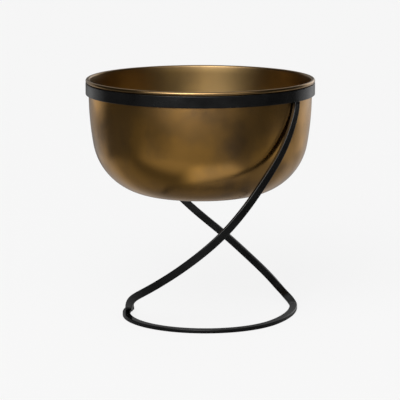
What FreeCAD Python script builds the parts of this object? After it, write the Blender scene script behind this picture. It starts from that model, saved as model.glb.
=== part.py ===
import FreeCAD, Part
import Sketcher
import math
import os

# A planter with its stand. A spun brass bowl with a rolled rim drops into a ring of flat band.
# Two flat bars carry the ring: the front leg winds down round the front of the bowl to a heel at
# the left, and the foot bar winds down round the back and lies on the floor as an open arc.
# Millimetres. The origin is on the floor under the bowl's axis, +Z is up and -Y is the front.

doc = FreeCAD.newDocument("planter")
sheet = doc.addObject("Spreadsheet::Sheet", "Sizes")

sizes = [
    # ring of flat band that the bowl hangs in
    ("rim_radius", 150),
    ("ring_thickness", 3),
    ("ring_height", 15),
    ("ring_top_level", 311.5),
    ("seam_gap", 1.6),
    # spun bowl
    ("bowl_clearance", 1),
    ("sheet_thickness", 1.2),
    ("seat_gap", 0.3),
    ("bowl_depth", 152),
    ("corner_radius", 80),
    ("wall_radius", 380),
    # flat bar of the legs and the foot
    ("bar_width", 10),
    ("bar_thickness", 5),
    # foot: a main arc with its centre a little right of the axis, then a wider arc
    ("foot_radius", 105),
    ("foot_offset", 6.7),
    ("foot_wide_radius", 197),
    ("foot_start_angle", 162.5),
    ("foot_main_sweep", 165.5),
    ("foot_wide_sweep", 32.7),
    # legs
    ("leg_azimuth", 54.8),
    ("heel_inset", 1),
    ("heel_back", 26),
    ("heel_length", 15),
    ("heel_turn", 2),
    ("heel_weld", 2.4),
]
for row, (name, value) in enumerate(sizes, start=1):
    sheet.set("A%d" % row, name)
    sheet.set("B%d" % row, str(value))
    sheet.setAlias("B%d" % row, name)
doc.recompute()


def size(name):
    return float(sheet.get(name))


def body_named(label):
    body = doc.addObject("PartDesign::Body", label)
    body.Label = label
    return body


def sketch_on(body, role, name):
    plane = [item for item in body.Origin.OriginFeatures if item.Role == role][0]
    sketch = body.newObject("Sketcher::SketchObject", name)
    sketch.AttachmentSupport = [(plane, "")]
    sketch.MapMode = "FlatFace"
    doc.recompute()
    return sketch


def drive(sketch, constraint, name, formula):
    index = sketch.addConstraint(constraint)
    sketch.renameConstraint(index, name)
    sketch.setExpression("Constraints." + name, formula)


def point(across, up):
    return FreeCAD.Vector(across, up, 0)


def arc(centre, radius, first, last):
    circle = Part.Circle(centre, FreeCAD.Vector(0, 0, 1), radius)
    return Part.ArcOfCircle(circle, first, last)


# The ends and the centre of a line or an arc, as a sketch counts them.
start_index = 1
end_index = 2
centre_index = 3

# Levels and radii that follow from the sheet.
ring_inner = size("rim_radius") - size("ring_thickness")
ring_underside = size("ring_top_level") - size("ring_height")
bowl_radius = ring_inner - size("bowl_clearance")
bowl_inner = bowl_radius - size("sheet_thickness")
bead_radius = (size("rim_radius") - bowl_inner) / 2
seat_level = size("ring_top_level") + size("seat_gap")
bead_level = seat_level + bead_radius
rim_level = bead_level + bead_radius
base_level = rim_level - size("bowl_depth")

bowl_radius_formula = "Sizes.rim_radius - Sizes.ring_thickness - Sizes.bowl_clearance"
bead_formula = "(Sizes.ring_thickness + Sizes.bowl_clearance + Sizes.sheet_thickness) / 2"
seat_formula = "Sizes.ring_top_level + Sizes.seat_gap"
bead_level_formula = seat_formula + " + " + bead_formula
base_formula = bead_level_formula + " + " + bead_formula + " - Sizes.bowl_depth"

# Bowl: one sheet of even thickness, spun to a flat base, a round corner and a nearly upright wall.
# The top edge is rolled outwards into a bead, round on top and pressed flat where it sits on the ring.
bowl = body_named("planter_bowl")
profile = sketch_on(bowl, "XZ_Plane", "BowlProfile")
sheet_gauge = size("sheet_thickness")
wall_centre = point(bowl_radius - size("wall_radius"), ring_underside)
corner_level = base_level + size("corner_radius")
arm = size("wall_radius") - size("corner_radius")
lean = math.asin((ring_underside - corner_level) / arm)
corner_centre = point(wall_centre.x + arm * math.cos(lean), corner_level)
bead_centre = point(bowl_inner + bead_radius, bead_level)
base_inside = base_level + sheet_gauge
corner_inside = size("corner_radius") - sheet_gauge
wall_inside = size("wall_radius") - sheet_gauge
quarter = math.pi / 2

base_out = profile.addGeometry(Part.LineSegment(point(0, base_level), point(corner_centre.x, base_level)))
corner_out = profile.addGeometry(arc(corner_centre, size("corner_radius"), -quarter, -lean))
wall_out = profile.addGeometry(arc(wall_centre, size("wall_radius"), -lean, 0))
rise_out = profile.addGeometry(
    Part.LineSegment(point(bowl_radius, ring_underside), point(bowl_radius, seat_level)))
seat_line = profile.addGeometry(
    Part.LineSegment(point(bowl_radius, seat_level), point(size("rim_radius"), seat_level)))
lip_line = profile.addGeometry(
    Part.LineSegment(point(size("rim_radius"), seat_level), point(size("rim_radius"), bead_level)))
bead_arc = profile.addGeometry(arc(bead_centre, bead_radius, 0, math.pi))
rise_in = profile.addGeometry(
    Part.LineSegment(point(bowl_inner, bead_level), point(bowl_inner, ring_underside)))
wall_in = profile.addGeometry(arc(wall_centre, wall_inside, -lean, 0))
corner_in = profile.addGeometry(arc(corner_centre, corner_inside, -quarter, -lean))
base_in = profile.addGeometry(Part.LineSegment(point(corner_centre.x, base_inside), point(0, base_inside)))
axis_line = profile.addGeometry(Part.LineSegment(point(0, base_inside), point(0, base_level)))

tangent_joints = [
    (base_out, end_index, corner_out, start_index),
    (corner_out, end_index, wall_out, start_index),
    (wall_out, end_index, rise_out, start_index),
    (lip_line, end_index, bead_arc, start_index),
    (bead_arc, end_index, rise_in, start_index),
    (rise_in, end_index, wall_in, end_index),
    (wall_in, start_index, corner_in, end_index),
    (corner_in, start_index, base_in, start_index),
]
plain_joints = [
    (rise_out, end_index, seat_line, start_index),
    (seat_line, end_index, lip_line, start_index),
    (base_in, end_index, axis_line, start_index),
    (axis_line, end_index, base_out, start_index),
]
for joint in tangent_joints:
    profile.addConstraint(Sketcher.Constraint("Tangent", *joint))
for joint in plain_joints:
    profile.addConstraint(Sketcher.Constraint("Coincident", *joint))
for level_line in (base_out, seat_line, base_in):
    profile.addConstraint(Sketcher.Constraint("Horizontal", level_line))
for upright_line in (rise_out, lip_line, rise_in, axis_line):
    profile.addConstraint(Sketcher.Constraint("Vertical", upright_line))
for outside, inside in ((corner_out, corner_in), (wall_out, wall_in)):
    profile.addConstraint(Sketcher.Constraint("Coincident", outside, centre_index, inside, centre_index))
profile.addConstraint(Sketcher.Constraint("PointOnObject", base_out, 1, -2))
drive(profile, Sketcher.Constraint("DistanceY", -1, 1, base_out, 1, base_level), "base", base_formula)
drive(profile, Sketcher.Constraint("DistanceX", -1, 1, rise_out, 1, bowl_radius), "wall",
      bowl_radius_formula)
drive(profile, Sketcher.Constraint("DistanceY", -1, 1, rise_out, 1, ring_underside), "shoulder",
      "Sizes.ring_top_level - Sizes.ring_height")
drive(profile, Sketcher.Constraint("DistanceY", -1, 1, seat_line, 1, seat_level), "seat", seat_formula)
drive(profile, Sketcher.Constraint("DistanceY", -1, 1, bead_arc, centre_index, bead_level), "bead",
      bead_level_formula)
drive(profile, Sketcher.Constraint("Radius", corner_out, size("corner_radius")), "corner",
      "Sizes.corner_radius")
drive(profile, Sketcher.Constraint("Radius", wall_out, size("wall_radius")), "side", "Sizes.wall_radius")
drive(profile, Sketcher.Constraint("Radius", bead_arc, bead_radius), "roll", bead_formula)
drive(profile, Sketcher.Constraint("DistanceY", axis_line, 2, axis_line, 1, sheet_gauge), "gauge",
      "Sizes.sheet_thickness")
doc.recompute()
bowl_turn = bowl.newObject("PartDesign::Revolution", "BowlTurn")
bowl_turn.Profile = profile
bowl_turn.ReferenceAxis = (profile, ["V_Axis"])
bowl_turn.Angle = 360
doc.recompute()

# Ring: flat band rolled on edge into a circle, its two ends meeting at a seam at the back.
ring = body_named("support_ring")
band = sketch_on(ring, "YZ_Plane", "RingBand")


def band_rectangle(sketch, near, far, low, high):
    corners = [point(near, low), point(far, low), point(far, high), point(near, high)]
    lines = []
    for index, corner in enumerate(corners):
        following = corners[(index + 1) % len(corners)]
        lines.append(sketch.addGeometry(Part.LineSegment(corner, following)))
    for index, edge in enumerate(lines):
        sketch.addConstraint(Sketcher.Constraint("Coincident", edge, 2, lines[(index + 1) % len(lines)], 1))
    for edge in lines[0::2]:
        sketch.addConstraint(Sketcher.Constraint("Horizontal", edge))
    for edge in lines[1::2]:
        sketch.addConstraint(Sketcher.Constraint("Vertical", edge))
    return lines


seam_formula = "Sizes.seam_gap / Sizes.rim_radius * 180 / pi"
front_band = band_rectangle(band, -size("rim_radius"), -ring_inner, ring_underside, size("ring_top_level"))
drive(band, Sketcher.Constraint("DistanceX", front_band[0], 1, -1, 1, size("rim_radius")), "outside",
      "Sizes.rim_radius")
drive(band, Sketcher.Constraint("DistanceX", front_band[0], 1, front_band[0], 2, size("ring_thickness")),
      "gauge", "Sizes.ring_thickness")
drive(band, Sketcher.Constraint("DistanceY", -1, 1, front_band[2], 1, size("ring_top_level")), "top",
      "Sizes.ring_top_level")
drive(band, Sketcher.Constraint("DistanceY", front_band[0], 1, front_band[2], 1, size("ring_height")),
      "tall", "Sizes.ring_height")
doc.recompute()
ring_turn = ring.newObject("PartDesign::Revolution", "RingTurn")
ring_turn.Profile = band
ring_turn.ReferenceAxis = (band, ["V_Axis"])
ring_turn.Midplane = True
ring_turn.setExpression("Angle", "(360 - " + seam_formula + ") * 1 deg")
doc.recompute()

# Seam weld: fills the gap between the ends of the band and is ground flush with it.
seam = body_named("ring_seam_weld")
fill = sketch_on(seam, "YZ_Plane", "SeamFill")
back_band = band_rectangle(fill, ring_inner, size("rim_radius"), ring_underside, size("ring_top_level"))
drive(fill, Sketcher.Constraint("DistanceX", -1, 1, back_band[0], 2, size("rim_radius")), "outside",
      "Sizes.rim_radius")
drive(fill, Sketcher.Constraint("DistanceX", back_band[0], 1, back_band[0], 2, size("ring_thickness")),
      "gauge", "Sizes.ring_thickness")
drive(fill, Sketcher.Constraint("DistanceY", -1, 1, back_band[2], 1, size("ring_top_level")), "top",
      "Sizes.ring_top_level")
drive(fill, Sketcher.Constraint("DistanceY", back_band[0], 1, back_band[2], 1, size("ring_height")), "tall",
      "Sizes.ring_height")
doc.recompute()
seam_turn = seam.newObject("PartDesign::Revolution", "SeamTurn")
seam_turn.Profile = fill
seam_turn.ReferenceAxis = (fill, ["V_Axis"])
seam_turn.Midplane = True
seam_turn.setExpression("Angle", seam_formula + " * 1 deg")
doc.recompute()

# Flat part of the foot bar: the bar lies on its broad side and is bent edgewise into an open arc.
foot_flat = body_named("foot_flat")
plan = sketch_on(foot_flat, "XY_Plane", "FootPlan")
half_width = size("bar_width") / 2
start_turn = math.radians(size("foot_start_angle"))
join_turn = start_turn + math.radians(size("foot_main_sweep"))
end_turn = join_turn + math.radians(size("foot_wide_sweep"))
main_centre = point(size("foot_offset"), 0)
join_ray = point(math.cos(join_turn), math.sin(join_turn))
wide_centre = main_centre - join_ray * (size("foot_wide_radius") - size("foot_radius"))
start_ray = point(math.cos(start_turn), math.sin(start_turn))
end_ray = point(math.cos(end_turn), math.sin(end_turn))
main_radii = [size("foot_radius") + half_width, size("foot_radius") - half_width]
wide_radii = [size("foot_wide_radius") + half_width, size("foot_wide_radius") - half_width]
main_out = plan.addGeometry(arc(main_centre, main_radii[0], start_turn, join_turn))
main_in = plan.addGeometry(arc(main_centre, main_radii[1], start_turn, join_turn))
wide_out = plan.addGeometry(arc(wide_centre, wide_radii[0], join_turn, end_turn))
wide_in = plan.addGeometry(arc(wide_centre, wide_radii[1], join_turn, end_turn))
start_edge = plan.addGeometry(
    Part.LineSegment(main_centre + start_ray * main_radii[1], main_centre + start_ray * main_radii[0]))
end_edge = plan.addGeometry(
    Part.LineSegment(wide_centre + end_ray * wide_radii[1], wide_centre + end_ray * wide_radii[0]))
plan.addConstraint(Sketcher.Constraint("Tangent", main_out, 2, wide_out, 1))
plan.addConstraint(Sketcher.Constraint("Tangent", main_in, 2, wide_in, 1))
plan.addConstraint(Sketcher.Constraint("Coincident", main_out, 3, main_in, 3))
plan.addConstraint(Sketcher.Constraint("Coincident", wide_out, 3, wide_in, 3))
foot_joints = [
    (start_edge, start_index, main_in, start_index),
    (start_edge, end_index, main_out, start_index),
    (end_edge, start_index, wide_in, end_index),
    (end_edge, end_index, wide_out, end_index),
]
for joint in foot_joints:
    plan.addConstraint(Sketcher.Constraint("Coincident", *joint))
plan.addConstraint(Sketcher.Constraint("PointOnObject", main_out, 3, -1))
plan.addConstraint(Sketcher.Constraint("PointOnObject", main_out, 3, start_edge))
plan.addConstraint(Sketcher.Constraint("PointOnObject", wide_out, 3, end_edge))
drive(plan, Sketcher.Constraint("DistanceX", -1, 1, main_out, 3, size("foot_offset")), "offset",
      "Sizes.foot_offset")
drive(plan, Sketcher.Constraint("Radius", main_out, main_radii[0]), "main",
      "Sizes.foot_radius + Sizes.bar_width / 2")
drive(plan, Sketcher.Constraint("Radius", main_in, main_radii[1]), "inner",
      "Sizes.foot_radius - Sizes.bar_width / 2")
drive(plan, Sketcher.Constraint("Radius", wide_out, wide_radii[0]), "wide",
      "Sizes.foot_wide_radius + Sizes.bar_width / 2")
drive(plan, Sketcher.Constraint("Angle", start_edge, start_turn), "start", "Sizes.foot_start_angle * 1 deg")
drive(plan, Sketcher.Constraint("Angle", main_out, join_turn - start_turn), "sweep",
      "Sizes.foot_main_sweep * 1 deg")
drive(plan, Sketcher.Constraint("Angle", wide_out, end_turn - join_turn), "run",
      "Sizes.foot_wide_sweep * 1 deg")
doc.recompute()
foot_pad = foot_flat.newObject("PartDesign::Pad", "FootPad")
foot_pad.Profile = plan
foot_pad.setExpression("Length", "Sizes.bar_thickness")
doc.recompute()

# Legs: flat bar bent round the bowl and twisted. A leg stands on edge under the ring, with its
# broad side facing outwards, and leans over as it comes down until it is flat at the foot.
# Rows are shares: of the sweep left to the ring, of the leg's radius at the ring and of the height.
upper_leg_shares = [
    (1.000, 0.959, 0.369),
    (0.814, 0.982, 0.448),
    (0.672, 0.992, 0.520),
    (0.538, 0.996, 0.595),
    (0.409, 0.997, 0.671),
    (0.190, 0.999, 0.803),
    (0.047, 1.000, 0.921),
]
# Rows are shares: of the sweep below the upper part, of the spread out to the ring and of the rise.
front_low_shares = [
    (0.821, 0.005, 0.016),
    (0.666, 0.142, 0.055),
    (0.544, 0.289, 0.098),
    (0.407, 0.443, 0.143),
    (0.283, 0.593, 0.191),
    (0.176, 0.700, 0.243),
    (0.078, 0.806, 0.300),
]
rear_low_shares = [
    (0.940, 0.095, 0.011),
    (0.857, 0.221, 0.024),
    (0.784, 0.240, 0.043),
    (0.658, 0.240, 0.087),
    (0.397, 0.346, 0.186),
    (0.204, 0.493, 0.270),
]
lean_level_share = 0.44
front_lean_power = 6
rear_lean_power = 8
bar_span_count = 18
bar_span_steps = 3
bar_station_count = bar_span_count * bar_span_steps + 1
leg_radius = ring_inner + size("bar_thickness") / 2
upright = FreeCAD.Vector(0, 0, 1)


def at_azimuth(azimuth, radius, level):
    turn = math.radians(azimuth)
    return FreeCAD.Vector(radius * math.sin(turn), -radius * math.cos(turn), level)


def leg_points(start, low_shares, turn):
    start_azimuth = math.degrees(math.atan2(start.x, -start.y)) % 360
    start_radius = math.hypot(start.x, start.y)
    low_sweep = (turn - start_azimuth) % 360
    points = [start]
    for sweep_share, spread_share, rise_share in low_shares:
        radius = start_radius + spread_share * (leg_radius - start_radius)
        level = start.z + rise_share * (ring_underside - start.z)
        points.append(at_azimuth(turn - sweep_share * low_sweep, radius, level))
    for sweep_share, radius_share, height_share in upper_leg_shares:
        azimuth = turn + (1 - sweep_share) * size("leg_azimuth")
        points.append(at_azimuth(azimuth, radius_share * leg_radius, height_share * ring_underside))
    points.append(at_azimuth(turn + size("leg_azimuth"), leg_radius, ring_underside))
    return points


def section_at(centre, along, start_level, lean_power):
    outward = FreeCAD.Vector(centre.x, centre.y, 0)
    outward = (outward - along * outward.dot(along)).normalize()
    rising = outward.cross(along)
    if rising.z < 0:
        rising = rising * -1
    lean_level = lean_level_share * ring_underside
    share = min(max((lean_level - centre.z) / (lean_level - start_level), 0), 1)
    tilt = share ** lean_power * quarter
    across = rising * math.cos(tilt) + outward * math.sin(tilt)
    through = across.cross(along)
    side = across * half_width
    face = through * (size("bar_thickness") / 2)
    return [centre + side + face, centre + side - face, centre - side - face, centre - side + face]


def twisted_bar(points, first_along, lean_power):
    chords = [0]
    for earlier, later in zip(points, points[1:]):
        chords.append(chords[-1] + earlier.distanceToPoint(later))
    path = Part.BSplineCurve()
    path.interpolate(Points=points, Parameters=chords, InitialTangent=first_along, FinalTangent=upright,
                     Scale=False)
    spacing = path.length() / (bar_station_count - 1)
    sections = []
    travel = []
    for step in range(bar_station_count):
        if step == 0:
            along = FreeCAD.Vector(first_along)
            centre = points[0]
        elif step == bar_station_count - 1:
            along = FreeCAD.Vector(upright)
            centre = points[-1]
        else:
            place = path.parameterAtDistance(spacing * step, path.FirstParameter)
            along = path.tangent(place)[0]
            centre = path.value(place)
        sections.append(section_at(centre, along, points[0].z, lean_power))
        travel.append(spacing * step)
    arrises = []
    for corner in range(len(sections[0])):
        curve = Part.BSplineCurve()
        curve.interpolate(Points=[section[corner] for section in sections], Parameters=travel,
                          InitialTangent=first_along, FinalTangent=upright, Scale=False)
        arrises.append(curve)
    faces = []
    for first, last in zip(travel[:-1:bar_span_steps], travel[bar_span_steps::bar_span_steps]):
        edges = [curve.toShape(first, last) for curve in arrises]
        for corner, edge in enumerate(edges):
            faces.append(Part.makeRuledSurface(edge, edges[(corner + 1) % len(edges)]))
    for section in (sections[0], sections[-1]):
        faces.append(Part.Face(Part.makePolygon(section + section[:1])))
    shell = Part.makeShell(faces)
    shell.sewShape()
    solid = Part.makeSolid(shell)
    if solid.Volume < 0:
        solid.reverse()
    return solid, sections


# Foot bar: the flat arc folds up at its right end and goes on as the rear leg, in one length of bar.
rear_turn = 180
fold = wide_centre + end_ray * size("foot_wide_radius") + upright * (size("bar_thickness") / 2)
fold_along = FreeCAD.Vector(-end_ray.y, end_ray.x, 0)
rear_solid = twisted_bar(leg_points(fold, rear_low_shares, rear_turn), fold_along, rear_lean_power)[0]
rear_rise = doc.addObject("Part::Feature", "RearRise")
rear_rise.Shape = rear_solid
foot_bar = doc.addObject("Part::Fuse", "FootBar")
foot_bar.Base = foot_flat
foot_bar.Tool = rear_rise
foot_bar.Refine = True
foot_bar.Label = "foot_bar"
doc.recompute()

# Front leg: its lower end is a flat heel that lies on the left end of the foot.
heel_level = size("bar_thickness") * 3 / 2
heel_across = size("foot_offset") + size("heel_inset")
heel_across = heel_across - math.sqrt(size("foot_radius") ** 2 - size("heel_back") ** 2)
heel_turn = math.radians(size("heel_turn"))
heel_along = FreeCAD.Vector(-math.sin(heel_turn), -math.cos(heel_turn), 0)
heel_end = FreeCAD.Vector(heel_across, size("heel_back"), heel_level)
heel_front = heel_end + heel_along * size("heel_length")
front_solid, front_sections = twisted_bar(leg_points(heel_front, front_low_shares, 360), heel_along,
                                          front_lean_power)
heel_face = Part.Face(Part.makePolygon(front_sections[0] + front_sections[0][:1]))
heel_solid = heel_face.extrude(heel_along * -size("heel_length"))
front_leg = doc.addObject("Part::Feature", "FrontLeg")
front_leg.Shape = front_solid.fuse(heel_solid).removeSplitter()
front_leg.Label = "front_leg"
doc.recompute()


def fillet_triangle(sketch, across, up, leg):
    corners = [point(across, up), point(across + leg, up), point(across, up + leg)]
    lines = []
    for index, corner in enumerate(corners):
        following = corners[(index + 1) % len(corners)]
        lines.append(sketch.addGeometry(Part.LineSegment(corner, following)))
    for index, edge in enumerate(lines):
        sketch.addConstraint(Sketcher.Constraint("Coincident", edge, 2, lines[(index + 1) % len(lines)], 1))
    sketch.addConstraint(Sketcher.Constraint("Horizontal", lines[0]))
    sketch.addConstraint(Sketcher.Constraint("Vertical", lines[2]))
    sketch.addConstraint(Sketcher.Constraint("Equal", lines[0], lines[2]))
    return lines


# Leg welds: a fillet on each leg's top end, on the ledge where the bar stands out past the band.
leg_welds = body_named("leg_welds")
bead = sketch_on(leg_welds, "XZ_Plane", "LegBead")
ledge = size("bar_thickness") - size("ring_thickness")
bead_lines = fillet_triangle(bead, size("rim_radius"), ring_underside, ledge)
drive(bead, Sketcher.Constraint("DistanceX", -1, 1, bead_lines[0], 1, size("rim_radius")), "root",
      "Sizes.rim_radius")
drive(bead, Sketcher.Constraint("DistanceY", -1, 1, bead_lines[0], 1, ring_underside), "level",
      "Sizes.ring_top_level - Sizes.ring_height")
drive(bead, Sketcher.Constraint("DistanceX", bead_lines[0], 1, bead_lines[0], 2, ledge), "ledge",
      "Sizes.bar_thickness - Sizes.ring_thickness")
doc.recompute()
bead_sweep = leg_welds.newObject("PartDesign::Revolution", "BeadTurn")
bead_sweep.Profile = bead
bead_sweep.ReferenceAxis = (bead, ["V_Axis"])
bead_sweep.Midplane = True
bead_sweep.setExpression("Angle", "Sizes.bar_width / Sizes.rim_radius * 180 / pi * 1 deg")
doc.recompute()
leg_welds.AllowCompound = True
bead_pair = leg_welds.newObject("PartDesign::PolarPattern", "BeadPair")
bead_pair.Originals = [bead_sweep]
bead_pair.Axis = (bead, ["V_Axis"])
bead_pair.Angle = 360
bead_pair.Occurrences = 2
leg_welds.Tip = bead_pair
leg_welds.Placement = FreeCAD.Placement(FreeCAD.Vector(0, 0, 0), FreeCAD.Rotation(upright, 1))
leg_welds.setExpression("Placement.Rotation.Angle", "(Sizes.leg_azimuth - 90) * 1 deg")
doc.recompute()

# Heel weld: a fillet across the back end of the front leg's heel, on top of the foot.
heel_weld = body_named("heel_weld")
toe = sketch_on(heel_weld, "YZ_Plane", "HeelBead")
toe_lines = fillet_triangle(toe, 0, 0, size("heel_weld"))
toe.addConstraint(Sketcher.Constraint("Coincident", toe_lines[0], 1, -1, 1))
drive(toe, Sketcher.Constraint("DistanceX", toe_lines[0], 1, toe_lines[0], 2, size("heel_weld")), "toe",
      "Sizes.heel_weld")
doc.recompute()
toe_pad = heel_weld.newObject("PartDesign::Pad", "HeelPad")
toe_pad.Profile = toe
toe_pad.Midplane = True
toe_pad.setExpression("Length", "Sizes.bar_width")
heel_weld.Placement = FreeCAD.Placement(FreeCAD.Vector(0, 0, 0), FreeCAD.Rotation(upright, 1))
heel_weld.setExpression("Placement.Base.x", "Sizes.foot_offset + Sizes.heel_inset"
                        " - sqrt(Sizes.foot_radius ^ 2 - Sizes.heel_back ^ 2)")
heel_weld.setExpression("Placement.Base.y", "Sizes.heel_back")
heel_weld.setExpression("Placement.Base.z", "Sizes.bar_thickness")
heel_weld.setExpression("Placement.Rotation.Angle", "-Sizes.heel_turn * 1 deg")
doc.recompute()

# Every object is sound before anything is written.
for item in doc.Objects:
    if "Invalid" in item.State or "Error" in item.State:
        raise RuntimeError("not computed: " + item.Name)
pieces = [bowl, ring, seam, foot_bar, front_leg, leg_welds, heel_weld]
for piece in pieces:
    if piece.Shape.isNull() or not piece.Shape.isValid():
        raise RuntimeError("not a sound shape: " + piece.Label)
os.makedirs("parts", exist_ok=True)
for piece in pieces:
    piece.Shape.exportStep("parts/" + piece.Label + ".step")
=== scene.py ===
import math

import bmesh
import bpy
import numpy as np
from mathutils import Matrix, Vector, noise
from mathutils.geometry import interpolate_bezier


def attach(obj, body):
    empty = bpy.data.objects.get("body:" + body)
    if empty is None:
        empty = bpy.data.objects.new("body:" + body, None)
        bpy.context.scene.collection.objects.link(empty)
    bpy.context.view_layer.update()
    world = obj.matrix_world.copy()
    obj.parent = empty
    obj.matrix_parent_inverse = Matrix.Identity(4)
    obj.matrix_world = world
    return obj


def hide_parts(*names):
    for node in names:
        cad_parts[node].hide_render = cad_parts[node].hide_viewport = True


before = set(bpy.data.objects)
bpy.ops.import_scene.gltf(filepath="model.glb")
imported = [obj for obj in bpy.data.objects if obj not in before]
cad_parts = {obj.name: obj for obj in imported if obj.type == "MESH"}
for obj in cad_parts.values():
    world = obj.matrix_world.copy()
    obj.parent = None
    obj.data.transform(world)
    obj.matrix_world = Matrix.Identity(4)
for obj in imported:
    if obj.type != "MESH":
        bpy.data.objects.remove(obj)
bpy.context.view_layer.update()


# Foot bar and rear leg. One length of 10 x 5 mm flat steel bar: it lies flat on the floor as an open
# arc, folds up at the right and winds round the back to the ring, twisting from flat to on edge.
# Bent cold, its arrises are rounded by the coat, and its ends are sawn.

bar_width = 0.010
bar_thickness = 0.005
bar_arris = 0.0009
bar_arris_cuts = 4
sawn_arris = bar_arris / 2
sawn_arris_cuts = 2
flat_margin = 1.25
bar_pitch = 0.003
bend_cuts = 40

foot_radius = 0.105
foot_wide_radius = 0.197
foot_centre = Vector((0.0067, 0, bar_thickness / 2))
foot_start, foot_join, foot_end = 162.5, 328.0, 360.7

ring_underside = 0.2965
leg_radius = 0.1495
leg_azimuth = 54.8
lean_level = 0.44 * ring_underside
rear_lean_power = 8
rear_turn = 180

# shares of the sweep below the upper part, of the spread out to the ring and of the rise
rear_low_shares = [
    (0.940, 0.095, 0.011),
    (0.857, 0.221, 0.024),
    (0.784, 0.240, 0.043),
    (0.658, 0.240, 0.087),
    (0.397, 0.346, 0.186),
    (0.204, 0.493, 0.270),
]

# shares of the sweep left to the ring, of the radius at the ring and of the height, on both legs
upper_leg_shares = [
    (1.000, 0.959, 0.369),
    (0.814, 0.982, 0.448),
    (0.672, 0.992, 0.520),
    (0.538, 0.996, 0.595),
    (0.409, 0.997, 0.671),
    (0.190, 0.999, 0.803),
    (0.047, 1.000, 0.921),
]

up = Vector((0, 0, 1))
quarter_turn = math.pi / 2


def ray(angle):
    """Straight out along the floor, the angle in degrees counted from the right to the back."""
    return Vector((math.cos(math.radians(angle)), math.sin(math.radians(angle)), 0))


def at_azimuth(azimuth, radius, level):
    """A place round the bowl's axis, the azimuth in degrees counted from the front to the right."""
    turn = math.radians(azimuth)
    return Vector((radius * math.sin(turn), -radius * math.cos(turn), level))


def leg_points(start, low_shares, turn):
    """The places that a leg is bent through, from its start at the foot up to the ring."""
    start_radius = math.hypot(start.x, start.y)
    low_sweep = (turn - math.degrees(math.atan2(start.x, -start.y))) % 360
    points = [start]
    for sweep, spread, rise in low_shares:
        points.append(at_azimuth(turn - sweep * low_sweep,
                                 start_radius + spread * (leg_radius - start_radius),
                                 start.z + rise * (ring_underside - start.z)))
    for sweep, radius, height in upper_leg_shares:
        points.append(at_azimuth(turn + (1 - sweep) * leg_azimuth,
                                 radius * leg_radius, height * ring_underside))
    points.append(at_azimuth(turn + leg_azimuth, leg_radius, ring_underside))
    return points


def bent_line(points, first_along, last_along):
    """Places an even pitch apart on the smooth curve through the points, each with its direction."""
    spans = [(b - a).length for a, b in zip(points, points[1:])]
    count = len(points)
    matrix = np.eye(count)
    slopes = np.array([first_along] + points[1:-1] + [last_along], float)
    for i in range(1, count - 1):
        before, after = spans[i - 1], spans[i]
        matrix[i, i - 1:i + 2] = after, 2 * (before + after), before
        slopes[i] = 3 * (before * (points[i + 1] - points[i]) / after
                         + after * (points[i] - points[i - 1]) / before)
    slopes = [Vector(s) for s in np.linalg.solve(matrix, slopes)]
    line = [points[0]]
    for i, span in enumerate(spans):
        line += interpolate_bezier(points[i], points[i] + slopes[i] * span / 3,
                                   points[i + 1] - slopes[i + 1] * span / 3, points[i + 1], bend_cuts)[1:]
    travel = np.cumsum([0] + [(b - a).length for a, b in zip(line, line[1:])])
    even = np.linspace(0, travel[-1], round(travel[-1] / bar_pitch) + 1)
    rows = [np.interp(even, travel, [place[k] for place in line]) for k in range(3)]
    places = [Vector(place) for place in np.array(rows).T]
    along = [first_along]
    for before, after in zip(places, places[2:]):
        along.append((after - before).normalized())
    along.append(last_along)
    return list(zip(places, along))


def bar_place(centre, along, across):
    """Where a section of the bar lies, by its centre, its run and its broad side."""
    sides = Matrix((across, along.cross(across), along)).transposed()
    return Matrix.LocRotScale(centre, sides.to_quaternion(), None)


def arc_places(centre, radius, first, last):
    """The bar lying on its broad side along an arc on the floor."""
    count = round(math.radians(last - first) * radius / bar_pitch)
    return [bar_place(centre + ray(angle) * radius, up.cross(ray(angle)), ray(angle))
            for angle in np.linspace(first, last, count + 1)]


def leg_places(points, first_along, lean_power):
    """The bar's section along a leg: on edge under the ring, leaning over to flat at the start."""
    places = []
    for centre, along in bent_line(points, first_along, up):
        outward = Vector((centre.x, centre.y, 0))
        outward = (outward - along * outward.dot(along)).normalized()
        rising = outward.cross(along)
        rising *= math.copysign(1, rising.z)
        share = min(max((lean_level - centre.z) / (lean_level - points[0].z), 0), 1)
        tilt = share ** lean_power * quarter_turn
        places.append(bar_place(centre, along, rising * math.cos(tilt) + outward * math.sin(tilt)))
    return places


def rounded_section(bm, width, thickness, arris):
    """A flat bar's section, its corners eased, with a line beside each so that the sides stay flat."""
    bmesh.ops.create_grid(bm, x_segments=1, y_segments=1, size=0.5)
    bmesh.ops.scale(bm, vec=(width, thickness, 1), verts=bm.verts)
    bmesh.ops.bevel(bm, geom=bm.verts[:], offset=arris, offset_type="OFFSET", segments=bar_arris_cuts,
                    profile=0.5, affect="VERTICES", material=-1)
    for side, reach in ((Vector((1, 0, 0)), width / 2), (Vector((0, 1, 0)), thickness / 2)):
        for sign in (1, -1):
            bmesh.ops.bisect_plane(bm, geom=bm.verts[:] + bm.edges[:] + bm.faces[:],
                                   plane_co=side * sign * (reach - flat_margin * arris), plane_no=side)
    bmesh.ops.dissolve_faces(bm, faces=bm.faces[:])


def drawn_out(bm, moves):
    """Draws the section out to a closed solid, one move after the other."""
    bmesh.ops.delete(bm, geom=bm.faces[:], context="FACES_ONLY")
    rim = bm.edges[:]
    for move in moves:
        drawn = bmesh.ops.extrude_edge_only(bm, edges=rim)["geom"]
        rim = [item for item in drawn if isinstance(item, bmesh.types.BMEdge)]
        corners = [item for item in drawn if isinstance(item, bmesh.types.BMVert)]
        bmesh.ops.transform(bm, matrix=move, verts=corners)
    bmesh.ops.holes_fill(bm, edges=[edge for edge in bm.edges if edge.is_boundary], sides=0)
    bmesh.ops.recalc_face_normals(bm, faces=bm.faces)


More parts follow.
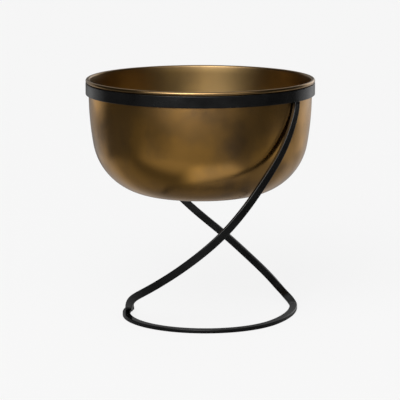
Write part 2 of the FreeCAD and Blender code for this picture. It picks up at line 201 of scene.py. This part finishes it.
def placed(bm, name):
    """The mesh as an object in the scene."""
    mesh = bpy.data.meshes.new(name)
    bm.to_mesh(mesh)
    bm.free()
    piece = bpy.data.objects.new(name, mesh)
    bpy.context.scene.collection.objects.link(piece)
    return piece


def finished(bm, name):
    """The mesh as a smooth piece in the scene."""
    for face in bm.faces:
        face.smooth = True
    return placed(bm, name)


def bar_piece(name, places):
    """Flat bar drawn through the places by extruding its rounded section, with the sawn ends eased."""
    bm = bmesh.new()
    rounded_section(bm, bar_width, bar_thickness, bar_arris)
    bmesh.ops.transform(bm, matrix=places[0], verts=bm.verts)
    drawn_out(bm, [after @ before.inverted() for before, after in zip(places, places[1:])])
    ends = [edge for face in bm.faces if len(face.verts) > 4 for edge in face.edges]
    bmesh.ops.bevel(bm, geom=ends, offset=sawn_arris, offset_type="OFFSET", segments=sawn_arris_cuts,
                    profile=0.5, affect="EDGES", material=-1)
    return finished(bm, name)


wide_centre = foot_centre - ray(foot_join) * (foot_wide_radius - foot_radius)
foot_places = arc_places(foot_centre, foot_radius, foot_start, foot_join)
foot_places += arc_places(wide_centre, foot_wide_radius, foot_join, foot_end)[1:]
fold = wide_centre + ray(foot_end) * foot_wide_radius
fold_along = up.cross(ray(foot_end))
foot_places += leg_places(leg_points(fold, rear_low_shares, rear_turn), fold_along, rear_lean_power)[1:]

foot_bar = bar_piece("foot_and_rear_leg", foot_places)

# black powder coat: near black with a satin sheen, a fine orange peel and faint dusty clouds
coat_black, coat_dusty = (0.002, 0.002, 0.002), (0.005, 0.005, 0.005)
coat_sheen, coat_dull = 0.20, 0.28
coat_ior = 1.38
dust_scale, dust_detail = 38, 4
peel_scale, peel_detail = 900, 2
peel_strength, peel_depth = 0.12, 0.0002
noise_low, noise_high = 0.3, 0.7

black_coat = bpy.data.materials.new("black_powder_coat")
black_coat.use_nodes = True


def feed(material, socket, value):
    """A socket takes another node's output or a plain value."""
    if isinstance(value, bpy.types.NodeSocket):
        material.node_tree.links.new(value, socket)
    else:
        socket.default_value = value


def feed_inputs(material, node, **inputs):
    """Feeds a node's inputs by name, with an underscore for each space."""
    for name, value in inputs.items():
        feed(material, node.inputs[name.replace("_", " ")], value)
    return node


def add_node(material, kind, **inputs):
    return feed_inputs(material, material.node_tree.nodes.new(kind), **inputs)


def noise_of(material, place, scale, detail, roughness=0.5):
    cloud = add_node(material, "ShaderNodeTexNoise", Vector=place, Scale=scale, Detail=detail,
                     Roughness=roughness)
    return cloud.outputs["Fac"]


def ramp_of(material, value, stops):
    """Colours that ease into each other, each at its place in the value's range."""
    ramp = add_node(material, "ShaderNodeValToRGB", Fac=value)
    ramp.color_ramp.interpolation = "EASE"
    while len(ramp.color_ramp.elements) < len(stops):
        ramp.color_ramp.elements.new(0.5)
    for element, (position, colour) in zip(ramp.color_ramp.elements, stops):
        element.position = position
        element.color = (*colour, 1)
    return ramp.outputs["Color"]


def range_of(material, value, low, high, from_low=0.0, from_high=1.0):
    """The value brought from one range to another, and held at the ends."""
    span = add_node(material, "ShaderNodeMapRange", Value=value, From_Min=from_low, From_Max=from_high,
                    To_Min=low, To_Max=high)
    return span.outputs["Result"]


place = add_node(black_coat, "ShaderNodeTexCoord").outputs["Object"]
dust = noise_of(black_coat, place, dust_scale, dust_detail)
peel = noise_of(black_coat, place, peel_scale, peel_detail)
orange_peel = add_node(black_coat, "ShaderNodeBump", Height=peel, Strength=peel_strength,
                       Distance=peel_depth)
feed_inputs(black_coat, black_coat.node_tree.nodes["Principled BSDF"],
            IOR=coat_ior,
            Base_Color=ramp_of(black_coat, dust, [(0.25, coat_black), (0.8, coat_dusty)]),
            Roughness=range_of(black_coat, dust, coat_sheen, coat_dull, noise_low, noise_high),
            Normal=orange_peel.outputs["Normal"])

foot_bar.data.materials.append(black_coat)
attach(foot_bar, "stand")
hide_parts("foot_bar")


# Front leg. A second length of the same flat bar: its lower end is a flat heel on the left end of the
# foot, and it winds up round the front of the bowl to the ring at the right.

heel_back = Vector((-0.09403, 0.026, bar_thickness * 1.5))
heel_skew = math.radians(2)
heel_along = Vector((-math.sin(heel_skew), -math.cos(heel_skew), 0))
heel_length = 0.015
front_lean_power = 6
front_turn = 360

front_low_shares = [
    (0.821, 0.005, 0.016),
    (0.666, 0.142, 0.055),
    (0.544, 0.289, 0.098),
    (0.407, 0.443, 0.143),
    (0.283, 0.593, 0.191),
    (0.176, 0.700, 0.243),
    (0.078, 0.806, 0.300),
]

heel_front = heel_back + heel_along * heel_length
front_points = leg_points(heel_front, front_low_shares, front_turn)
front_places = leg_places(front_points, heel_along, front_lean_power)
heel_steps = round(heel_length / bar_pitch)
heel_places = [Matrix.Translation(heel_along * -heel_length * step / heel_steps) @ front_places[0]
               for step in range(heel_steps, 0, -1)]

front_leg = bar_piece("front_leg_bar", heel_places + front_places)
front_leg.data.materials.append(black_coat)
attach(front_leg, "stand")
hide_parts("front_leg")


# Heel weld. A small fillet of weld metal across the heel's back end, where it lies on the foot. It was
# laid in short steps, so its face is rippled, and it is coated with the stand.

heel_weld_leg = 0.0024
weld_length = bar_width * 0.96
weld_step = 0.0005
# the section of a fillet, in shares of its leg
weld_section = [(0, 0), (1, 0), (0.62, 0.45), (0.3, 0.78), (0, 1)]
weld_start, weld_growth, weld_growth_steps = 0.7, 0.15, 2
weld_ripple, weld_ripple_steps = 0.06, 3


def weld_fillet(bm, place, length, leg):
    """A fillet in the corner of two faces, from side to side along X, with the ripple of its passes."""
    bead = bmesh.new()
    bead.faces.new([bead.verts.new((-length / 2, leg * y, leg * z)) for y, z in weld_section])
    steps = round(length / weld_step)
    swell = []
    for step in range(steps + 1):
        fullness = weld_start + weld_growth * min(step, steps - step, weld_growth_steps)
        wave = math.cos(2 * math.pi * step / weld_ripple_steps)
        swell.append(fullness * (1 - weld_ripple + weld_ripple * wave))
    bmesh.ops.scale(bead, vec=(1, swell[0], swell[0]), verts=bead.verts)
    onward = Matrix.Translation((length / steps, 0, 0))
    drawn_out(bead, [onward @ Matrix.Diagonal((1, after / before, after / before, 1))
                     for before, after in zip(swell, swell[1:])])
    bmesh.ops.transform(bead, matrix=place, verts=bead.verts)
    laid = bpy.data.meshes.new("weld_pass")
    bead.to_mesh(laid)
    bead.free()
    bm.from_mesh(laid)
    bpy.data.meshes.remove(laid)


bm = bmesh.new()
heel_corner = Matrix.Translation((heel_back.x, heel_back.y, bar_thickness))
weld_fillet(bm, heel_corner @ Matrix.Rotation(-heel_skew, 4, "Z"), weld_length, heel_weld_leg)
heel_weld = finished(bm, "heel_weld_bead")
heel_weld.data.materials.append(black_coat)
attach(heel_weld, "stand")
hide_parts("heel_weld")


# Ring. 15 x 3 mm flat band rolled on edge into a circle, its two ends brought together at the back.
# The legs stand under it and the bowl hangs in it.

ring_outside = 0.150
ring_thickness = 0.003
ring_height = 0.015
ring_arris = 0.0007
ring_steps = 180
seam_gap = 0.0016
seam_angle = seam_gap / ring_outside
ring_middle = Matrix.Translation((ring_outside - ring_thickness / 2, 0, ring_underside + ring_height / 2))


def turned(bm, geom, centre, axis, sweep, steps, closed=False):
    """Spins a shape about an axis, and joins its end to its start where it goes all the way round."""
    return bmesh.ops.spin(bm, geom=geom, cent=centre, axis=axis, dvec=(0, 0, 0), angle=sweep, steps=steps,
                          use_merge=closed, use_normal_flip=False, use_duplicate=False)


def band_piece(name, thickness, height, start, sweep, steps):
    """Flat band on edge, rolled round the bowl's axis from its start through the sweep."""
    bm = bmesh.new()
    rounded_section(bm, thickness, height, ring_arris)
    on_edge = Matrix.Rotation(quarter_turn, 4, "X")
    bmesh.ops.transform(bm, matrix=ring_middle @ on_edge, verts=bm.verts)
    bmesh.ops.rotate(bm, cent=(0, 0, 0), matrix=Matrix.Rotation(start, 3, "Z"), verts=bm.verts)
    turned(bm, bm.verts[:] + bm.edges[:] + bm.faces[:], (0, 0, 0), up, sweep, steps)
    bmesh.ops.recalc_face_normals(bm, faces=bm.faces)
    return finished(bm, name)


ring = band_piece("ring_band", ring_thickness, ring_height,
                  quarter_turn + seam_angle / 2, 2 * math.pi - seam_angle, ring_steps)
ring.data.materials.append(black_coat)
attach(ring, "stand")
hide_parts("support_ring")


# Ring seam weld. Weld metal fills the gap between the band's ends and is ground down, so it lies a
# hair below the band's faces.

seam_sink = 0.00012
seam_steps = 4

seam_weld = band_piece("ring_seam_weld_bead", ring_thickness - 2 * seam_sink, ring_height - 2 * seam_sink,
                       quarter_turn - seam_angle / 2, seam_angle, seam_steps)
seam_weld.data.materials.append(black_coat)
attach(seam_weld, "stand")
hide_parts("ring_seam_weld")


# Leg welds. A fillet on the top end of each leg, on the ledge where the 5 mm bar stands out past the
# 3 mm band.

ledge = bar_thickness - ring_thickness
weld_bite = 0.00005

bm = bmesh.new()
for turn in (leg_azimuth, leg_azimuth + rear_turn):
    outward = Matrix.Rotation(math.radians(turn + 180), 4, "Z")
    on_ledge = Matrix.Translation((0, ring_outside - weld_bite, ring_underside))
    weld_fillet(bm, outward @ on_ledge, weld_length, ledge)
leg_welds = finished(bm, "leg_weld_beads")
leg_welds.data.materials.append(black_coat)
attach(leg_welds, "stand")
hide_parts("leg_welds")


# Bowl. One disc of brass sheet spun over a former to a flat base, a round corner and a nearly upright
# wall, its edge rolled outwards into a bead that rests on the ring. Smoked to an antique brown that was
# rubbed back unevenly, so brass shows through in soft clouds.

sheet_gauge = 0.0012
bowl_radius = 0.146
base_level = 0.165
corner_centre = Vector((0.06155, 0, 0.245))
corner_sweep, corner_steps = 80.12, 22
wall_centre = Vector((-0.234, 0, ring_underside))
wall_sweep, wall_steps = 9.88, 8
bead_centre = Vector((0.1474, 0, 0.3144))
bead_sweep, bead_steps = 300, 18
bowl_steps = 144
merge_reach = 0.00001
rising_turn, rolling_turn = (0, -1, 0), (0, 1, 0)

bm = bmesh.new()
axis_point = bm.verts.new((0, 0, base_level))


def draw_to(vert, place):
    line = bmesh.ops.extrude_vert_indiv(bm, verts=[vert])["verts"]
    bmesh.ops.translate(bm, vec=Vector(place) - line[0].co, verts=line)
    return line[0]


def draw_arc(vert, centre, axis, sweep, steps):
    arc = turned(bm, [vert], centre, axis, math.radians(sweep), steps)
    return [item for item in arc["geom_last"] if isinstance(item, bmesh.types.BMVert)][0]


pen = draw_to(axis_point, (corner_centre.x / 2, 0, base_level))
pen = draw_to(pen, (corner_centre.x, 0, base_level))
pen = draw_arc(pen, corner_centre, rising_turn, corner_sweep, corner_steps)
pen = draw_arc(pen, wall_centre, rising_turn, wall_sweep, wall_steps)
pen = draw_to(pen, (bowl_radius, 0, (ring_underside + bead_centre.z) / 2))
pen = draw_to(pen, (bowl_radius, 0, bead_centre.z))
draw_arc(pen, bead_centre, rolling_turn, bead_sweep, bead_steps)
turned(bm, bm.verts[:] + bm.edges[:], (0, 0, 0), up, 2 * math.pi, bowl_steps, closed=True)
bmesh.ops.remove_doubles(bm, verts=bm.verts, dist=merge_reach)
bmesh.ops.recalc_face_normals(bm, faces=bm.faces)

# the roll was closed by hand, so it wavers a little
roll_waver = 0.00022
roll_reach = 0.002
long_wave, short_wave, side_wave = 3.1, 9.7, 4.3
short_share = 0.5
side_start = up * 7
for vert in bm.verts:
    if vert.co.z > bead_centre.z - roll_reach:
        around = Vector((vert.co.x, vert.co.y, 0)).normalized()
        dip = noise.noise(around * long_wave) + short_share * noise.noise(around * short_wave)
        vert.co.z -= roll_waver * (0.5 + 0.5 * dip)
        vert.co -= around * roll_waver * (0.5 + 0.5 * noise.noise(around * side_wave + side_start))

bowl = finished(bm, "spun_bowl")
gauge = bowl.modifiers.new("sheet_gauge", "SOLIDIFY")
gauge.thickness = sheet_gauge
gauge.offset = 1
gauge.use_even_offset = True

# antique brass: brown smoke in clouds and a fine mottle, over the lines that spinning left
smoked, worn, rubbed = (0.25, 0.152, 0.072), (0.46, 0.256, 0.080), (0.64, 0.340, 0.082)
# the inside's colours: painted shade, a darker and flatter copy of the smoke colours
inside_shaded_smoked, inside_shaded_worn = (0.265, 0.174, 0.072), (0.33, 0.211, 0.077)
inside_aim, inside_edge = (-1, -1, 0.1), 0.03
# the bead's colour: painted shade, a darker brown that dims its highlights
bead_shade_brown, bead_shade_cover = (0.30, 0.195, 0.093, 1), 0.8
bead_low, bead_high = 0.3118, 0.3136
cloud_scale, mottle_scale = 9, 48
patina_detail, patina_grain = 3, 0.55
mottle_depth = 0.08
smoked_dull, rubbed_dull, mottle_dull, inside_dull = 0.27, 0.22, 0.02, 0.09
spun_stretch = (5, 5, 330)
spun_strength, spun_depth = 0.03, 0.0001
spun_sheen, spun_sheen_turn = 0.6, 0.25

# darker and lighter spots on the front: their centre, their reach and how far they shift the colour
front_tone_spots = [
    ((0.046, -0.134, 0.239), (0.034, 0.06, 0.028), -0.17),
    ((-0.098, -0.105, 0.266), (0.020, 0.05, 0.030), -0.03),
    ((-0.080, -0.122, 0.254), (0.018, 0.05, 0.036), 0.13),
]

antique_brass = bpy.data.materials.new("antique_brass_patina")
antique_brass.use_nodes = True


def worked_out(material, kind, operation, *values):
    """A node that does sums on the values."""
    node = material.node_tree.nodes.new(kind)
    node.operation = operation
    for socket, value in zip(node.inputs, values):
        feed(material, socket, value)
    return node


def combined(material, operation, first, second):
    return worked_out(material, "ShaderNodeMath", operation, first, second).outputs["Value"]


def fade_of(material, value, low, high, from_low=0.0, from_high=1.0):
    """As range_of, but soft at both ends."""
    fade = range_of(material, value, low, high, from_low, from_high)
    fade.node.interpolation_type = "SMOOTHSTEP"
    return fade


def soft_spot(material, place, centre, reach, level):
    """A soft round spot: its level at the centre, nothing past its reach."""
    squeeze = [1 / r for r in reach]
    shift = [-c / r for c, r in zip(centre, reach)]
    laid = add_node(material, "ShaderNodeMapping", Vector=place, Location=shift, Scale=squeeze)
    length = worked_out(material, "ShaderNodeVectorMath", "LENGTH", laid.outputs["Vector"])
    return fade_of(material, length.outputs["Value"], level, 0)


place = add_node(antique_brass, "ShaderNodeTexCoord").outputs["Object"]
clouds = noise_of(antique_brass, place, cloud_scale, patina_detail, patina_grain)
mottle = noise_of(antique_brass, place, mottle_scale, patina_detail, patina_grain)
fine_smoke = range_of(antique_brass, mottle, -mottle_depth, mottle_depth)
smoke = combined(antique_brass, "ADD", clouds, fine_smoke)
for spot in front_tone_spots:
    smoke = combined(antique_brass, "ADD", smoke, soft_spot(antique_brass, place, *spot))
outside_colour = ramp_of(antique_brass, smoke, [(0.30, smoked), (0.48, worn), (0.66, rubbed)])

# the inside is duller and painted as shade, darker and flatter: it is where the faces look to the axis or
# up
inside_colour = ramp_of(antique_brass, smoke, [(0.36, inside_shaded_smoked), (0.62, inside_shaded_worn)])
faces = add_node(antique_brass, "ShaderNodeNewGeometry")
to_axis = worked_out(antique_brass, "ShaderNodeVectorMath", "MULTIPLY", place, inside_aim)
facing_in = worked_out(antique_brass, "ShaderNodeVectorMath", "DOT_PRODUCT",
                       to_axis.outputs["Vector"], faces.outputs["Normal"])
inside = range_of(antique_brass, facing_in.outputs["Value"], 0, 1, 0, inside_edge)
two_sides = add_node(antique_brass, "ShaderNodeMixRGB", Fac=inside, Color1=outside_colour,
                     Color2=inside_colour)

# the bead is painted one plainer, darker brown: shade that dims the highlights on the roll
height = add_node(antique_brass, "ShaderNodeSeparateXYZ", Vector=place).outputs["Z"]
on_bead = range_of(antique_brass, height, 0, bead_shade_cover, bead_low, bead_high)
# the base colour: smoke clouds outside, painted shade on the inside and on the bead
patina_and_shade = add_node(antique_brass, "ShaderNodeMixRGB", Fac=on_bead, Color1=two_sides.outputs["Color"],
                  Color2=bead_shade_brown)

dullness = combined(antique_brass, "ADD",
                    range_of(antique_brass, clouds, smoked_dull, rubbed_dull, noise_low, noise_high),
                    range_of(antique_brass, mottle, -mottle_dull, mottle_dull))
dullness = combined(antique_brass, "ADD", dullness, range_of(antique_brass, inside, 0, inside_dull))

lathe = add_node(antique_brass, "ShaderNodeMapping", Vector=place, Scale=spun_stretch)
spun_lines = noise_of(antique_brass, lathe.outputs["Vector"], scale=1, detail=1)
spun_relief = add_node(antique_brass, "ShaderNodeBump", Height=spun_lines, Strength=spun_strength,
                       Distance=spun_depth)
round_the_bowl = add_node(antique_brass, "ShaderNodeTangent")
round_the_bowl.direction_type = "RADIAL"
round_the_bowl.axis = "Z"
feed_inputs(antique_brass, antique_brass.node_tree.nodes["Principled BSDF"],
            Metallic=1,
            Base_Color=patina_and_shade.outputs["Color"],
            Roughness=dullness,
            Anisotropic=spun_sheen,
            Anisotropic_Rotation=spun_sheen_turn,
            Tangent=round_the_bowl.outputs["Tangent"],
            Normal=spun_relief.outputs["Normal"])

bowl.data.materials.append(antique_brass)
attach(bowl, "bowl")
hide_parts("planter_bowl")


# Studio floor. A plain pale sheet of paper that runs out past the picture on every side and takes the
# stand's soft shadow. The metal mirrors it as lit in patches and dim between them.

floor_reach = 8
paper_white = (0.85, 0.85, 0.85, 1)
seen_level, seen_share = 0.958, 0.88
white = (1, 1, 1, 1)
dim_paper = 0.07

# lit patches: their sides along X, their ends along Y, their soft edge and their level
lit_patches = [
    ((-0.05, 0.22), (-0.38, -0.16), 0.05, 0.57),
    ((-0.55, 0.60), (-0.10, 0.30), 0.08, 0.11),
    ((0.20, 0.60), (-0.38, -0.05), 0.08, 0.12),
    ((-0.50, 0.50), (0.12, 0.70), 0.10, 0.34),
    ((-1.60, 0.10), (0.95, 2.40), 0.25, 0.28),
    ((0.10, 1.90), (0.65, 2.60), 0.30, 0.42),
    ((-2.40, -1.34), (0.75, 2.40), 0.15, 0.66),
    ((-1.60, -0.70), (-0.60, 0.20), 0.20, 0.03),
    ((1.15, 2.40), (0.75, 2.60), 0.15, 0.60),
    ((0.55, 0.95), (-0.20, 0.80), 0.15, 0.38),
    ((-0.58, -0.06), (-0.46, -0.25), 0.06, 0.22),
    ((-0.85, -0.45), (0.30, 0.95), 0.10, 0.45),
    ((-0.40, 0.40), (-2.40, -0.42), 0.10, 0.12),
]

bm = bmesh.new()
bmesh.ops.create_grid(bm, x_segments=1, y_segments=1, size=floor_reach)
floor = placed(bm, "studio_floor")

pale_paper = bpy.data.materials.new("pale_paper")
pale_paper.use_nodes = True
pale_paper.node_tree.nodes.clear()


def lit_sheet(material, place, sides, ends, soft, level):
    """A soft-edged patch of lit paper between two sides along X and two ends along Y."""
    split = add_node(material, "ShaderNodeSeparateXYZ", Vector=place)
    sheet = level
    for axis, (low, high) in (("X", sides), ("Y", ends)):
        for edge, inward in ((low, soft), (high, -soft)):
            fade = fade_of(material, split.outputs[axis], 0, 1, edge - inward, edge + inward)
            sheet = combined(material, "MULTIPLY", fade, sheet)
    return sheet


def either(material, share, first, second):
    """The first shader, or the second for its share of the rays."""
    mix = add_node(material, "ShaderNodeMixShader", Fac=share)
    feed(material, mix.inputs[1], first)
    feed(material, mix.inputs[2], second)
    return mix.outputs["Shader"]


path = add_node(pale_paper, "ShaderNodeLightPath")
place = add_node(pale_paper, "ShaderNodeTexCoord").outputs["Object"]
mirrored = dim_paper
for patch in lit_patches:
    mirrored = combined(pale_paper, "ADD", mirrored, lit_sheet(pale_paper, place, *patch))
paper = add_node(pale_paper, "ShaderNodeBsdfDiffuse", Color=paper_white)
seen = add_node(pale_paper, "ShaderNodeEmission", Color=white, Strength=seen_level)
shine = add_node(pale_paper, "ShaderNodeEmission", Color=white, Strength=mirrored)
to_camera = either(pale_paper, range_of(pale_paper, path.outputs["Is Camera Ray"], 0, seen_share),
                   paper.outputs["BSDF"], seen.outputs["Emission"])
to_metal = either(pale_paper, path.outputs["Is Glossy Ray"], to_camera, shine.outputs["Emission"])
add_node(pale_paper, "ShaderNodeOutputMaterial", Surface=to_metal)
floor.data.materials.append(pale_paper)


# Studio light. A dim room with soft boxes in front, mostly from the left and above, and weaker ones
# behind, and a soft lamp over the camera's left. The camera itself sees an even pale wall.

wall_level = 0.922
dim_room = 0.025

# soft boxes: their azimuth from the front to the right, their elevation, their reach and their level
soft_boxes = [
    (-45, 6, 22, 0.5),
    (-22, 6, 22, 1.5),
    (0, 6, 22, 0.65),
    (22, 6, 22, 0.78),
    (45, 6, 22, 0.25),
    (-34, 34, 30, 2.4),
    (-5, 31, 28, 4.1),
    (36, 36, 28, 0.7),
    (0, 72, 34, 0.9),
    (180, 50, 40, 0.45),
    (180, 8, 36, 0.12),
    (-150, 6, 24, 0.30),
    (150, 8, 26, 1.2),
]

lamp_place, lamp_aim = Vector((-0.7, -2.1, 1.5)), Vector((0, 0, 0.2))
lamp_width, lamp_height, lamp_power = 1.5, 0.8, 14

world = bpy.data.worlds.new("studio_room")
bpy.context.scene.world = world
world.use_nodes = True
world.node_tree.nodes.clear()


def soft_box(material, facing, azimuth, elevation, reach, level):
    """A soft round patch of light in the room, that way from the planter."""
    aim = at_azimuth(azimuth, math.cos(math.radians(elevation)), math.sin(math.radians(elevation)))
    toward = worked_out(material, "ShaderNodeVectorMath", "DOT_PRODUCT", facing, aim)
    return fade_of(material, toward.outputs["Value"], 0, level, math.cos(math.radians(reach)), 1)


path = add_node(world, "ShaderNodeLightPath")
place = add_node(world, "ShaderNodeTexCoord").outputs["Generated"]
room_level = dim_room
for box in soft_boxes:
    room_level = combined(world, "ADD", room_level, soft_box(world, place, *box))
room = add_node(world, "ShaderNodeBackground", Color=white, Strength=room_level)
pale_wall = add_node(world, "ShaderNodeBackground", Color=(wall_level, wall_level, wall_level, 1))
lit_room = either(world, path.outputs["Is Camera Ray"],
                  room.outputs["Background"], pale_wall.outputs["Background"])
add_node(world, "ShaderNodeOutputWorld", Surface=lit_room)

light = bpy.data.lights.new("front_lamp", "AREA")
light.shape = "RECTANGLE"
light.size = lamp_width
light.size_y = lamp_height
light.energy = lamp_power
lamp = bpy.data.objects.new("front_lamp", light)
bpy.context.scene.collection.objects.link(lamp)
lamp.location = lamp_place
lamp.rotation_mode = "QUATERNION"
lamp.rotation_quaternion = (lamp_aim - lamp_place).to_track_quat("-Z", "Y")


# Camera. A long lens three metres off, above the rim and looking ten degrees down, so that the far
# inside of the bowl shows.

camera_tilt = 9.962

camera = bpy.data.objects.new("camera", bpy.data.cameras.new("camera"))
bpy.context.scene.collection.objects.link(camera)
camera.location = (0, -2.9516, 0.6733)
camera.rotation_euler = (math.radians(90 - camera_tilt), 0, 0)
camera.data.sensor_width = 36
camera.data.lens = 204.435
camera.data.shift_x = -0.00075
camera.data.clip_end = 100
bpy.context.scene.camera = camera
bpy.context.scene.view_settings.view_transform = "Standard"
